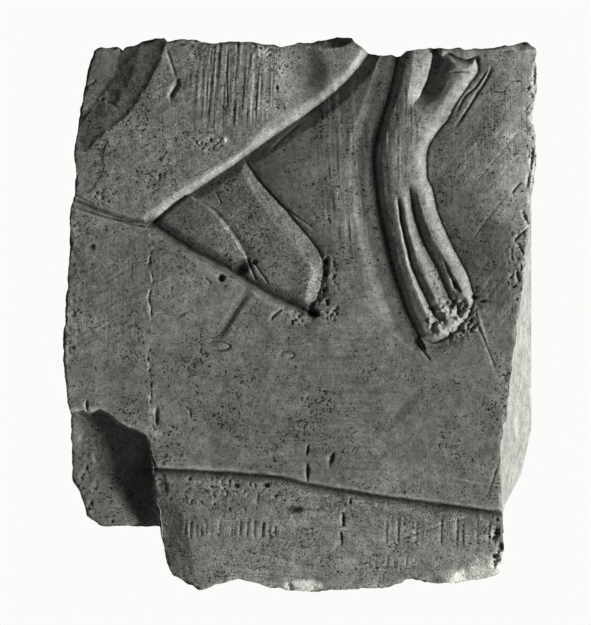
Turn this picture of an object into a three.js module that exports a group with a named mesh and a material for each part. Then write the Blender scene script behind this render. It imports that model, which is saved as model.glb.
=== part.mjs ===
// Relief block: a broken piece of a limestone wall block, carved on one face in sunk relief.
// Units are millimetres. X runs to the right, Z up, and the carved face looks along -Y.
// The origin is the middle of the flat back face. Depths are measured inwards from the plane y = -thickness.

import * as THREE from 'three';

// ---- Driving dimensions ----

const thickness = 64;          // carved face to back face
const fieldDepth = 1.1;        // the plain ground lies this far below the raised border band
const garmentDepth = 1.0;      // face of the garment's flat panel
const innerSashDepth = 1.6;    // face of the shorter sash end
const outerSashDepth = 1.8;    // face of the longer sash end
const handDepth = 0.6;         // crest of the wrist and fingers
const recessDepth = 10;        // the lost lower left corner: foot of its wall
const recessWall = 2.2;        // how far its wall leans
const recessRise = 0.09;       // how fast its floor rises from there to the left
const recessLow = [[-92, 0.5], [-66, 1]];  // and the share of that depth left at these heights
const facetSlope = 0.22;       // the broken corner of the band below the recess
const cutFloor = 0.6;          // half the width of the flat floor that the chisel left in each cut
const gridLevels = 16;         // halvings of the face, two of them for each halving of the grid
const tolerance = 0.32;        // largest error left in the carved face
const sideRings = [0, 0.3, 0.7, 1];  // shares of the way from the face to the back
const sideHollow = 2.2;        // how far the broken sides dip between face and back
const stone = { color: 0x6b6c66, roughness: 0.92, metalness: 0 };

// ---- Outline: each side is a broken line of [x, z] corners ----

const outline = {
  left: [
    [-91.7, -86.8], [-94, -80], [-96.4, -76], [-99, -70], [-99.6, -57], [-100.1, -48.8],
    [-99.5, -41.7], [-101.7, -25.8], [-101.9, -12.9], [-99.5, 21.1], [-98.7, 45.6],
    [-96.7, 52], [-97, 73.1], [-94.6, 89.4], [-91.4, 105.4], [-88.8, 114.4],
  ],
  top: [
    [-88.8, 114.4], [-76.8, 115.2], [-57.4, 118.7], [-43.6, 117.9], [-30.7, 116.6],
    [-14.4, 115.5], [4.9, 116.5], [16.1, 119.1], [22.6, 118.7], [29.9, 111.8], [43.6, 110.7],
    [46.2, 113.1], [60, 114], [82.3, 113.5], [97.8, 116.5], [101.7, 113.5],
  ],
  right: [
    [86.2, -111.4], [88.2, -100.2], [87.1, -83.9], [86.6, -67.5], [87.1, -51.6], [89, -43.4],
    [91.4, -24], [94, -3], [96.1, 13.3], [98.7, 32.7], [99.5, 49], [101.7, 61.9],
    [101.7, 73.1], [100, 84.3], [101.7, 94.2], [101.7, 113.5],
  ],
  bottom: [
    [-91.7, -86.8], [-85.5, -91.8], [-60, -91.2], [-57.8, -106.6], [-54.8, -112.2], [-41.9, -118.7],
    [-33.8, -116.1], [-26, -114], [-14.4, -117], [1.5, -119.1], [38.9, -117], [48.4, -113.1],
    [58.3, -115.5], [69.4, -114.8], [86.2, -111.4],
  ],
};
const backOutline = {
  left: [[-91, -86], [-96.5, -70], [-98.5, -30], [-97, 30], [-91, 84], [-85, 111]],
  top: [[-85, 111], [-55, 114.5], [5, 113], [50, 110.5], [96.8, 112]],
  right: [[84.5, -85], [92.4, -70], [96.8, -50], [96.8, 112]],
  bottom: [[-91, -86], [-84, -91.5], [-57, -92], [0, -90], [84.5, -85]],
};

// ---- Carved lines: smooth curves through [x, z] points ----

const curves = {
  hem: smooth([[-63, 39], [-47.5, 51.2], [-24.3, 66.7], [-11.4, 76.1], [8, 89.4], [22.6, 102.3], [33, 116]]),
  belt: smooth([[-104, 51], [-96.7, 49], [-79.3, 42.1], [-63, 39]]),
  ground: smooth([[-63, 39], [-47.1, 28.4], [-30.7, 19.8], [-14.4, 9.9], [4.9, 0.4]]),
  innerSash: smooth([[-47.5, 51.2], [-39, 46.5], [-30.7, 38.3], [-22.6, 25.4], [-19.6, 13.2]]),
  outerSash: smooth([
    [-24.3, 66.7], [-14.4, 53.8], [-1.5, 39.1], [8, 27.5], [10.5, 19.8], [8.8, 9.9], [4.9, 0.4],
  ]),
  handLeft: smooth([
    [44.5, 121], [42.8, 111.8], [38.9, 94.2], [34.2, 77.8], [32.5, 64.9], [34.6, 45.6],
    [38.1, 29.2], [41.9, 14.6], [47.5, -1.3], [51.8, -9.5],
  ]),
  handRight: smooth([
    [77.2, 109.2], [76.5, 103.2], [72.4, 97.6], [67, 89.6], [63.9, 83.6], [58.8, 77], [55, 69.7],
    [55, 58.5], [57, 53.3], [60.4, 40.4], [65.6, 29.2], [71.6, 17.6], [75, 7],
  ]),
  fingertips: smooth([[51.8, -9.5], [58.5, -12], [67, -7.5], [73, 0], [75, 7]]),
  forkTop: smooth([[77.2, 109.2], [72, 109.8], [65, 110.2], [59.5, 111.2], [58.3, 121]]),
  forkValley: smooth([[57.8, 114], [56.1, 105.8], [54.8, 100.6], [52.2, 94.2], [48.4, 89]]),
  firstGap: smooth([[42.4, 50.3], [44.9, 35.3], [49.2, 18.9], [55.3, 5.2], [59, -2]]),
  secondGap: smooth([[46.9, 55.5], [50.4, 40], [53.2, 31], [59.3, 19.4], [64.7, 6.5], [68, 3]]),
  thirdGap: smooth([[60.5, 25.8], [64.7, 16.6], [69, 9.9]]),
  ledge: smooth([
    [-66, -66], [-45, -67], [-11.4, -69.2], [4.9, -72.7], [34.2, -77.4], [63, -81.3], [92, -85],
  ]),
};

// ---- Broken surfaces: the line where each break leaves the carved face ----

const breaks = {
  recess: smooth([[-103, -41.5], [-92, -41.6], [-84.9, -41.2], [-76.8, -46.6], [-67, -51.4], [-63.4, -58],
    [-62.8, -66], [-61.5, -76], [-59.2, -88], [-58.4, -95]]),
  cornerChip: smooth([[-55, 122], [-58.7, 110.9], [-63, 102.3], [-71.2, 88.2], [-76.3, 83], [-83.2, 77.8],
    [-91.8, 69.7], [-99, 71]]),
  bandFacet: smooth([
    [-60.6, -66.5], [-55.7, -77.4], [-49.2, -87.3], [-46, -100.2], [-44.5, -111.4], [-41, -122],
  ]),
};

// ---- Figures: closed areas of the face, each with its own level ----

const figures = [
  { name: 'garment', level: garmentDepth, area: [...curves.belt, ...curves.hem, [-104, 125]] },
  {
    name: 'outer sash',
    level: outerSashDepth,
    area: [
      ...curves.ground,
      ...curves.outerSash.toReversed(),
      ...startOf(curves.hem, curves.outerSash[0]).toReversed(),
    ],
  },
  {
    name: 'hand',
    level: handDepth,
    area: [...curves.handLeft, ...curves.fingertips, ...curves.handRight.toReversed(), ...curves.forkTop],
  },
  { name: 'band', level: 0, area: [...curves.ledge, [95, -125], [-66, -125]] },
];

// ---- Cuts: each follows a curve and is deepest on it ----
// left and right say how it runs out to each side: pairs of a distance and the share of its depth left there.
// widen scales those distances along the line. start and end are shares of its length over which it fades in
// and out. A cut works only in the areas it names.

const cuts = [
  {
    line: curves.hem, depth: 4.7, areas: ['garment'], left: [[0, 1], [2.8, 0.12], [4.5, 0.03], [7, 0]],
    widen: [[0, 1.5], [0.15, 1.2], [0.3, 0.7], [0.42, 1.1], [0.52, 1.9], [0.65, 1.3], [0.8, 0.95], [1, 1.1]],
  },
  {
    line: curves.hem, depth: 4.7, areas: ['ground'],
    right: [[0, 1], [6.3, 0.28], [11, 0.2], [30, 0]], start: 0.2,
  },
  { line: curves.hem, depth: 4.7, areas: ['outer sash'], right: [[0, 1], [4.4, 0.35], [7, 0.25], [30, 0]] },
  { line: curves.hem, depth: 4.7, areas: ['inner sash'], right: [[0, 1], [1.2, 0.4], [4, 0.25], [16, 0]] },
  {
    line: curves.belt, depth: 2.4, areas: ['garment', 'ground'],
    left: [[0, 1], [1.2, 0.4], [4.5, 0]], right: [[0, 1], [1, 0.3], [6, 0]],
  },
  {
    line: curves.ground, depth: 4.3, areas: ['inner sash', 'outer sash', 'ground'],
    left: [[0, 1], [1.3, 0.62], [4.2, 0.2], [9, 0]], right: [[0, 1], [1.3, 0.3], [3, 0.08], [5, 0]],
  },
  {
    line: curves.innerSash, depth: 2.9, areas: ['outer sash', 'inner sash'],
    left: [[0, 1], [1.2, 0.5], [3, 0.12], [6, 0]], right: [[0, 1], [1.1, 0.05], [2, 0]],
  },
  {
    line: curves.outerSash, depth: 3.9, areas: ['outer sash'],
    right: [[0, 1], [0.8, 0.85], [3, 0.72], [6.8, 0.05], [9, 0]],
    widen: [[0, 0.8], [0.5, 1], [0.7, 0.75], [1, 0.7]],
  },
  {
    line: curves.outerSash, depth: 3.9, areas: ['ground'],
    left: [[0, 1], [0.7, 0.75], [2.5, 0.55], [20, 0]], end: 0.12,
  },
  {
    line: curves.handLeft, depth: 4.5, areas: ['hand'],
    left: [[0, 1], [1.5, 0.58], [3, 0.32], [6, 0.1], [9, 0]],
    widen: [[0, 1.35], [0.2, 1.3], [0.4, 1], [1, 1]],
  },
  {
    line: curves.handLeft, depth: 4.5, areas: ['ground'],
    right: [[0, 1], [0.8, 0.8], [7.5, 0.62], [11.5, 0.12], [17, 0]],
    widen: [[0, 0.8], [0.5, 1], [0.9, 0.9], [1, 0.6]],
  },
  {
    line: curves.handRight, depth: 3.3, areas: ['hand'], right: [[0, 1], [5, 0.08], [7, 0]],
    widen: [[0, 1.4], [0.3, 1.4], [0.45, 1], [1, 1]],
  },
  { line: curves.handRight, depth: 3.3, areas: ['ground'], left: [[0, 1], [0.5, 0.8], [6, 0.55], [24, 0]] },
  {
    line: curves.fingertips, depth: 3.4, areas: ['hand', 'ground'],
    left: [[0, 1], [1.5, 0.5], [3.5, 0]], right: [[0, 1], [1, 0.5], [6, 0.2], [14, 0]],
  },
  {
    line: curves.forkTop, depth: 4.5, areas: ['hand', 'ground'],
    left: [[0, 1], [1.2, 0.6], [3, 0]], right: [[0, 1], [0.8, 0]],
  },
  {
    line: curves.forkValley, depth: 5.6, areas: ['hand'],
    left: [[0, 1], [13.5, 0]], right: [[0, 1], [0.4, 0.68], [7, 0.02], [9, 0]],
    widen: [[0, 1], [0.6, 0.95], [1, 0.5]], end: 0.3,
  },
  {
    line: curves.firstGap, depth: 3.2, areas: ['hand'],
    left: [[0, 1], [1.2, 0.55], [3.4, 0.08], [4.5, 0]], right: [[0, 1], [2.4, 0.1], [3.4, 0]],
    widen: [[0, 0.35], [0.4, 0.6], [1, 1.4]], start: 0.12,
  },
  {
    line: curves.secondGap, depth: 3.6, areas: ['hand'],
    left: [[0, 1], [1.2, 0.6], [5, 0.1], [6, 0]], right: [[0, 1], [2, 0.6], [4.5, 0.1], [5.5, 0]],
    widen: [[0, 0.5], [0.4, 0.8], [1, 1.4]], start: 0.12,
  },
  {
    line: curves.thirdGap, depth: 2.3, areas: ['hand'],
    left: [[0, 1], [1.2, 0]], right: [[0, 1], [1.6, 0]], start: 0.3,
  },
  {
    line: curves.ledge, depth: 2.5, areas: ['ground', 'band'],
    left: [[0, 1], [0.9, 0]], right: [[0, 1], [0.8, 0.75], [3.5, 0.15], [5, 0]],
  },
];

// ---- Plane geometry ----

function smooth(points) {
  const stepsPerSpan = 6;
  const spline = new THREE.SplineCurve(points.map(([x, z]) => new THREE.Vector2(x, z)));
  return spline.getPoints(stepsPerSpan * (points.length - 1)).map((p) => [p.x, p.y]);
}

function startOf(line, [endX, endZ]) {
  const end = line.findIndex(([x, z]) => Math.hypot(x - endX, z - endZ) < 1e-6);
  return line.slice(0, end + 1);
}

function mix(a, b, share) {
  return a.map((value, axis) => value + (b[axis] - value) * share);
}

// The value at a station of a broken line through [station, value] pairs, level beyond both of its ends.
function valueAt(pairs, station) {
  const next = pairs.findIndex(([at]) => at > station);
  if (next === 0) return pairs[0][1];
  if (next < 0) return pairs.at(-1)[1];
  const [before, after] = [pairs[next - 1], pairs[next]];
  return before[1] + (after[1] - before[1]) * ((station - before[0]) / (after[0] - before[0]));
}

// The distance from a point to a line, positive on the line's left, with the share of the line's length there.
function offsetFrom(line, x, z) {
  let nearest = { away: Infinity, left: true, along: 0 };
  line.slice(1).forEach(([bx, bz], index) => {
    const [ax, az] = line[index];
    const runX = bx - ax;
    const runZ = bz - az;
    const share = THREE.MathUtils.clamp(((x - ax) * runX + (z - az) * runZ) / (runX ** 2 + runZ ** 2), 0, 1);
    const away = Math.hypot(x - ax - share * runX, z - az - share * runZ);
    if (away < nearest.away) {
      const left = runX * (z - az) - runZ * (x - ax) > 0;
      nearest = { away, left, along: (index + share) / (line.length - 1) };
    }
  });
  return nearest;
}

function contains(area, x, z) {
  let inside = false;
  area.forEach(([ax, az], index) => {
    const [bx, bz] = area[(index + 1) % area.length];
    if ((az > z) !== (bz > z) && x < ax + ((z - az) / (bz - az)) * (bx - ax)) inside = !inside;
  });
  return inside;
}

// ---- The carved face as a depth below its plane ----

function figureAt(x, z) {
  const figure = figures.find(({ area }) => contains(area, x, z)) ?? { name: 'ground', level: fieldDepth };
  const inner = figure.name === 'outer sash' && !offsetFrom(curves.innerSash, x, z).left;
  return inner ? { name: 'inner sash', level: innerSashDepth } : figure;
}

function carvedDepth(x, z) {
  const { name, level } = figureAt(x, z);
  let depth = level;
  for (const cut of cuts.filter(({ areas }) => areas.includes(name))) {
    const { away, left, along } = offsetFrom(cut.line, x, z);
    const side = left ? cut.left : cut.right;
    if (side) {
      const widening = cut.widen ? valueAt(cut.widen, along) : 1;
      const startShare = cut.start ? Math.min(1, along / cut.start) : 1;
      const endShare = cut.end ? Math.min(1, (1 - along) / cut.end) : 1;
      const share = valueAt(side, Math.max(0, away - cutFloor) / widening) * startShare * endShare;
      depth = Math.max(depth, level + (cut.depth - level) * share);
    }
  }
  return depth;
}

function brokenDepth(x, z) {
  const recess = offsetFrom(breaks.recess, x, z);
  const chip = offsetFrom(breaks.cornerChip, x, z);
  const facet = offsetFrom(breaks.bandFacet, x, z);
  let depth = 0;
  if (!recess.left) {
    depth += recessDepth * valueAt(recessLow, z) * (1 - Math.exp(-recess.away / recessWall));
    depth -= recessRise * recess.away;
  }
  if (!chip.left) depth += 0.16 * chip.away + 0.8 * Math.min(1, chip.away);
  if (!facet.left && recess.left && z < -60) depth += facetSlope * facet.away;
  return depth;
}

function faceDepth(x, z) {
  const carved = offsetFrom(breaks.recess, x, z).left ? carvedDepth(x, z) : fieldDepth;
  return carved + brokenDepth(x, z);
}

// ---- The outline as a curved square: u runs left to right, v from bottom to top ----

// A point on one side of the outline. Lengths along the side's main axis count fully, across it slightly.
function onSide(points, mainAxis, share) {
  const crossShare = 0.25;
  const lengths = points.slice(1).map((point, index) => {
    const run = point.map((value, axis) => Math.abs(value - points[index][axis]));
    return run[mainAxis] + crossShare * run[1 - mainAxis];
  });
  let left = share * lengths.reduce((sum, length) => sum + length, 0);
  let span = 0;
  while (span < lengths.length - 1 && left > lengths[span]) {
    left -= lengths[span];
    span += 1;
  }
  return mix(points[span], points[span + 1], Math.min(1, left / lengths[span]));
}

// A point of the area within an outline: the straight-sided shape of its corners, bent to follow each side nearby.
function within(sides, u, v) {
  const sideReach = 5;
  const [bottomLeft, bottomRight] = [sides.bottom[0], sides.bottom.at(-1)];
  const [topLeft, topRight] = [sides.top[0], sides.top.at(-1)];
  const bends = [
    [onSide(sides.left, 1, v), mix(bottomLeft, topLeft, v), 1 - u],
    [onSide(sides.right, 1, v), mix(bottomRight, topRight, v), u],
    [onSide(sides.bottom, 0, u), mix(bottomLeft, bottomRight, u), 1 - v],
    [onSide(sides.top, 0, u), mix(topLeft, topRight, u), v],
  ];
  const straight = mix(mix(bottomLeft, bottomRight, u), mix(topLeft, topRight, u), v);
  return straight.map((value, axis) => bends.reduce(
    (sum, [bent, chord, nearness]) => sum + (bent[axis] - chord[axis]) * nearness ** sideReach,
    value,
  ));
}

// ---- The face: right triangles halved until each lies within the tolerance ----

const gridSize = 2 ** (gridLevels / 2);
const facePoints = new Map();

function facePoint([column, row]) {
  const key = row * (gridSize + 1) + column;
  if (!facePoints.has(key)) {
    const [x, z] = within(outline, column / gridSize, row / gridSize);
    facePoints.set(key, [x, faceDepth(x, z) - thickness, z]);
  }
  return facePoints.get(key);
}

const onRim = (corner) => corner.some((value) => value % gridSize === 0);
const middle = (a, b) => [(a[0] + b[0]) / 2, (a[1] + b[1]) / 2];

// A triangle is [a, b, right-angled corner]. Halving it cuts its long side a-b.
function halves([a, b, corner]) {
  const m = middle(a, b);
  return [[corner, a, m], [b, corner, m]];
}

// How far a straight edge from a to b misses the surface at m: in full on the rim, square to the surface inside it.
function missAt(m, a, b) {
  const [missX, missY, missZ] = mix(a, b, 0.5).map((value, axis) => value - facePoint(m)[axis]);
  if (onRim(m)) return Math.hypot(missX, missY, missZ);
  const flatLength = Math.hypot(b[0] - a[0], b[2] - a[2]);
  const fullLength = Math.hypot(flatLength, b[1] - a[1]);
  return Math.abs(missY) * (flatLength / fullLength);
}

function faceTriangles() {
  const levels = [[
    [[0, 0], [gridSize, gridSize], [0, gridSize]],
    [[gridSize, gridSize], [0, 0], [gridSize, 0]],
  ]];
  for (let level = 1; level < gridLevels; level += 1) levels.push(levels.at(-1).flatMap(halves));

  const errors = new Map();
  const errorAt = ([column, row]) => errors.get(row * (gridSize + 1) + column) ?? 0;
  for (const triangles of levels.toReversed()) {
    for (const triangle of triangles) {
      const m = middle(triangle[0], triangle[1]);
      const own = missAt(m, facePoint(triangle[0]), facePoint(triangle[1]));
      const inner = halves(triangle).map(([a, b]) => middle(a, b));
      const below = triangles === levels.at(-1) ? 0 : Math.max(...inner.map(errorAt));
      errors.set(m[1] * (gridSize + 1) + m[0], Math.max(errorAt(m), own, below));
    }
  }

  const kept = [];
  const split = (triangle, level) => {
    const coarse = level < gridLevels && errorAt(middle(triangle[0], triangle[1])) > tolerance;
    if (coarse) halves(triangle).forEach((half) => split(half, level + 1));
    else kept.push(triangle);
  };
  levels[0].forEach((triangle) => split(triangle, 0));
  return kept;
}

// ---- The block: face, broken sides and flat back as one closed mesh ----

function borderShare([column, row]) {
  if (row === 0) return column / gridSize;
  if (column === gridSize) return 1 + row / gridSize;
  if (row === gridSize) return 3 - column / gridSize;
  return 4 - row / gridSize;
}

function reliefBlock() {
  const positions = [];
  const indices = [];
  const numbers = new Map();
  const addPoint = (point) => positions.push(...point) / 3 - 1;
  const cornerNumber = (corner) => {
    const key = corner.join();
    if (!numbers.has(key)) numbers.set(key, addPoint(facePoint(corner)));
    return numbers.get(key);
  };

  const triangles = faceTriangles();
  for (const triangle of triangles) indices.push(...triangle.map(cornerNumber));

  const border = triangles.flat().filter(onRim);
  const rim = [...new Map(border.map((corner) => [corner.join(), corner])).values()];
  rim.sort((a, b) => borderShare(a) - borderShare(b));

  const rings = sideRings.map((share) => rim.map((corner) => {
    if (share === 0) return cornerNumber(corner);
    const [x, y, z] = facePoint(corner);
    const [backX, backZ] = within(backOutline, corner[0] / gridSize, corner[1] / gridSize);
    const inward = 1 - (sideHollow / 100) * Math.sin(Math.PI * share);
    const [sideX, sideZ] = mix([x, z], [backX, backZ], share).map((value) => value * inward);
    return addPoint([sideX, y * (1 - share), sideZ]);
  }));
  rings.slice(1).forEach((ring, index) => {
    const previous = rings[index];
    ring.forEach((number, at) => {
      const next = (at + 1) % ring.length;
      indices.push(previous[at], number, previous[next], previous[next], number, ring[next]);
    });
  });

  const back = rings.at(-1);
  const backPoints = back.map((number) => new THREE.Vector2(positions[number * 3], positions[number * 3 + 2]));
  for (const [a, b, c] of THREE.ShapeUtils.triangulateShape(backPoints, [])) indices.push(back[a], back[c], back[b]);

  const geometry = new THREE.BufferGeometry();
  geometry.setAttribute('position', new THREE.Float32BufferAttribute(positions, 3));
  geometry.setIndex(indices);
  geometry.computeVertexNormals();
  return geometry;
}

const group = new THREE.Group();
const block = new THREE.Mesh(reliefBlock(), new THREE.MeshStandardMaterial(stone));
block.name = 'relief_block';
group.add(block);

export default group;
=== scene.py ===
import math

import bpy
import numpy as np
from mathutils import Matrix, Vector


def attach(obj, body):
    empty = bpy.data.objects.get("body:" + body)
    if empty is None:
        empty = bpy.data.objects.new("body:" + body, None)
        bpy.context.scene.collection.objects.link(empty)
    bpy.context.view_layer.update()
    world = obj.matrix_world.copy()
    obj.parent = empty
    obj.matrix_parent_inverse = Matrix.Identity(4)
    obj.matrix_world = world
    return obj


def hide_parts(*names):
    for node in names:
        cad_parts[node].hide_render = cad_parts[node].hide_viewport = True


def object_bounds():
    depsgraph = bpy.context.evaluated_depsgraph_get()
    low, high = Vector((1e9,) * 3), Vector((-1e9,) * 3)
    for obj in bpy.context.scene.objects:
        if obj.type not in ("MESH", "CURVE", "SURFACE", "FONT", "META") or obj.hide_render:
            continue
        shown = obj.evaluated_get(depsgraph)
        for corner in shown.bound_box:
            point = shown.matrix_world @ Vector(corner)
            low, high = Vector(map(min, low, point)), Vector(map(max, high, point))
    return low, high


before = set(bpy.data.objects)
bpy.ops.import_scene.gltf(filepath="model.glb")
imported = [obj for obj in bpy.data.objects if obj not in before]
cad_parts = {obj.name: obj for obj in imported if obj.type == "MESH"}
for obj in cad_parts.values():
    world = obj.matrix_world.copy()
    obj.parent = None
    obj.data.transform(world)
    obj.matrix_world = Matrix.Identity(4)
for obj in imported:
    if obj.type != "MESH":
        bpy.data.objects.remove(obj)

# A broken block of limestone carved in sunk relief: one fine mesh of the whole stone, its material, light
# and camera. Shapes are worked out in millimetres: x to the right, z up, and a depth measured inwards from
# the carved face.

CAD_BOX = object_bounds()
NODE = "relief_block"
MM = 0.001
THICKNESS = -CAD_BOX[0].y / MM       # carved face to back face
SEED = 11

# ---- Levels and depths, mm ----

FIELD = 1.1                          # the plain ground below the raised border band
GARMENT = 1.0
INNER_SASH = 1.6
OUTER_SASH = 1.8
HAND = 0.6
RECESS_DEPTH = 10.0
RECESS_WALL = 2.2
RECESS_RISE = 0.09
RECESS_LOW = ((-92, -66), (0.5, 1))  # the share of its depth left at these heights
FACET_SLOPE = 0.22
CORNER_SLOPE = 0.16                  # the spalled upper left corner slopes away behind a low rounded step
CORNER_STEP = 0.5
CORNER_ROUNDING = 1.2
CORNER_TONE = 0.78
VALLEY_DEPTH = 1.2                   # the valley down that corner, and its reach to each side
VALLEY_LEFT = 8
VALLEY_RIGHT = 11
SPALL_DEPTH = 0.3
SPALL_REACH = 30
SPALL_TOP = 75
BREAK_WANDER = 0.8                   # how far the lines of the breaks wander, and the carved lines
CUT_WANDER = 0.3
CRACK_DEPTH = 0.6
CRACK_HALF_WIDTH = 0.55
RUN_OUT = 0.2                        # the share of a score's length over which each end fades
PATCH_FADE = 0.4                     # and the same for pecked and combed places, inwards from their edge
COMB_LENGTH = 16                     # combed lines are this many times as long as they are apart

# ---- Mesh ----

COLUMNS = 500
ROWS = 580
SIDE_RINGS = 26
BACK_RINGS = 9
FIRST_RING = 0.008                   # the first ring of the sides, as a share of the way back
RIM_FRAY = 0.010                     # how far the rim frays inwards, as a share of the distance to the middle
SIDE_HOLLOW = 0.022                  # how far the sides dip halfway back, and their bumps, in the same terms
SIDE_BUMPS = 0.016
MOST_TRIANGLES = 196_000

# ---- Outline: each side is a broken line of (x, z) corners ----

OUTLINE = {
    "left": [
        (-91.7, -86.8), (-94, -80), (-96.4, -76), (-99, -70), (-99.6, -57), (-100.1, -48.8),
        (-99.5, -41.7), (-101.7, -25.8), (-101.9, -12.9), (-99.5, 21.1), (-98.7, 45.6),
        (-96.7, 52), (-97, 73.1), (-94.6, 89.4), (-91.4, 105.4), (-89.2, 113.4),
    ],
    "top": [
        (-89.2, 113.4), (-86, 115.1), (-78.2, 114.9), (-76.7, 114), (-75.1, 115.3), (-70, 116.4),
        (-64.3, 117.9), (-60.2, 118.9), (-58.1, 118.6), (-56.5, 116.9), (-49.3, 118.3), (-42.4, 117.3),
        (-37.8, 116.5), (-30.7, 116.8), (-21.7, 117), (-14.4, 115.6), (-7.8, 115.4), (4.9, 117),
        (16.1, 119.1), (22.6, 118.7), (29.9, 111.8), (43.6, 110.7),
        (46.2, 113.1), (60, 114), (82.3, 113.5), (97.8, 116.5), (101.7, 113.5),
    ],
    "right": [
        (86.2, -111.4), (88.2, -100.2), (87.1, -83.9), (86.6, -67.5), (87.1, -51.6), (89, -43.4),
        (91.4, -24), (94, -3), (96.1, 13.3), (98.7, 32.7), (99.5, 49), (101.7, 61.9),
        (101.7, 73.1), (100, 84.3), (101.7, 94.2), (101.7, 113.5),
    ],
    "bottom": [
        (-91.7, -86.8), (-85.5, -91.8), (-60, -91.2), (-57.8, -106.6), (-54.8, -112.2), (-41.9, -118.7),
        (-33.8, -116.1), (-26, -114), (-14.4, -117), (1.5, -119.1), (38.9, -117), (48.4, -113.1),
        (58.3, -115.5), (69.4, -114.8), (86.2, -111.4),
    ],
}
BACK_OUTLINE = {
    "left": [(-91, -86), (-96.5, -70), (-98.5, -30), (-97, 30), (-91, 84), (-85, 111)],
    "top": [(-85, 111), (-55, 114.5), (5, 113), (50, 110.5), (96.8, 112)],
    "right": [(84.5, -85), (92.4, -70), (96.8, -50), (96.8, 112)],
    "bottom": [(-91, -86), (-84, -91.5), (-57, -92), (0, -90), (84.5, -85)],
}


# ---- Plane geometry on arrays of points ----

def smooth(points, steps=6):
    """A smooth curve through the points, as a line of many short spans."""
    corners = np.array(points, float)
    last = len(corners) - 1
    line = []
    for i in range(last):
        before, start, end, after = corners[[max(i - 1, 0), i, i + 1, min(i + 2, last)]]
        leave, arrive = (end - before) / 2, (after - start) / 2
        for t in np.arange(steps) / steps:
            cubic = 2 * start - 2 * end + leave + arrive
            square = -3 * start + 3 * end - 2 * leave - arrive
            line.append(cubic * t**3 + square * t**2 + leave * t + start)
    line.append(corners[-1])
    return np.array(line)


def offset_from(line, x, z, reach=1e9):
    """For each point: its distance to the line, whether it is on the line's left, and the share of the length
    there. Points further than reach from the line's box keep an endless distance."""
    low, high = line.min(0) - reach, line.max(0) + reach
    near = np.flatnonzero((x > low[0]) & (x < high[0]) & (z > low[1]) & (z < high[1]))
    px, pz = x[near], z[near]
    best = np.full(len(near), 1e9)
    side = np.zeros(len(near), bool)
    along = np.zeros(len(near))
    spans = len(line) - 1
    for i in range(spans):
        (ax, az), (run_x, run_z) = line[i], line[i + 1] - line[i]
        share = np.clip(((px - ax) * run_x + (pz - az) * run_z) / (run_x**2 + run_z**2), 0, 1)
        away = np.hypot(px - ax - share * run_x, pz - az - share * run_z)
        closer = away < best
        best[closer] = away[closer]
        side[closer] = (run_x * (pz - az) - run_z * (px - ax))[closer] > 0
        along[closer] = ((i + share) / spans)[closer]
    distance, left, place = np.full(len(x), 1e9), np.zeros(len(x), bool), np.zeros(len(x))
    distance[near], left[near], place[near] = best, side, along
    return distance, left, place


def contains(area, x, z):
    inside = np.zeros(len(x), bool)
    for (ax, az), (bx, bz) in zip(area, np.roll(area, -1, axis=0)):
        if az != bz:
            crosses = ((az > z) != (bz > z)) & (x < ax + (z - az) / (bz - az) * (bx - ax))
            inside ^= crosses
    return inside


def noise(points, cell, seed):
    """Smooth random values between -1 and 1 that change over one cell. cell may differ along each axis."""
    scaled = points / np.asarray(cell, float)
    base = np.floor(scaled).astype(np.int64)
    part = scaled - base
    part = part * part * (3 - 2 * part)
    total = np.zeros(len(points))
    for corner in np.ndindex(*(2,) * points.shape[1]):
        lattice = base + corner
        mixed = lattice @ np.array([73856093, 19349663, 83492791])[: points.shape[1]] + seed * 374761393
        mixed = (mixed ^ (mixed >> 13)) * 1274126177
        mixed = (mixed ^ (mixed >> 16)) & 0xFFFF
        total += (mixed / 32767.5 - 1) * np.prod(np.where(corner, part, 1 - part), axis=1)
    return total


def rough(points, cell, seed, octaves=3):
    """Noise with finer and fainter noise on top."""
    return sum(noise(points, cell / 2**k, seed + k) / 2**k for k in range(octaves)) / 1.6


def ease(value, low, high):
    t = np.clip((value - low) / (high - low), 0, 1)
    return t * t * (3 - 2 * t)


# ---- Carved lines, figures and breaks ----

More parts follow.
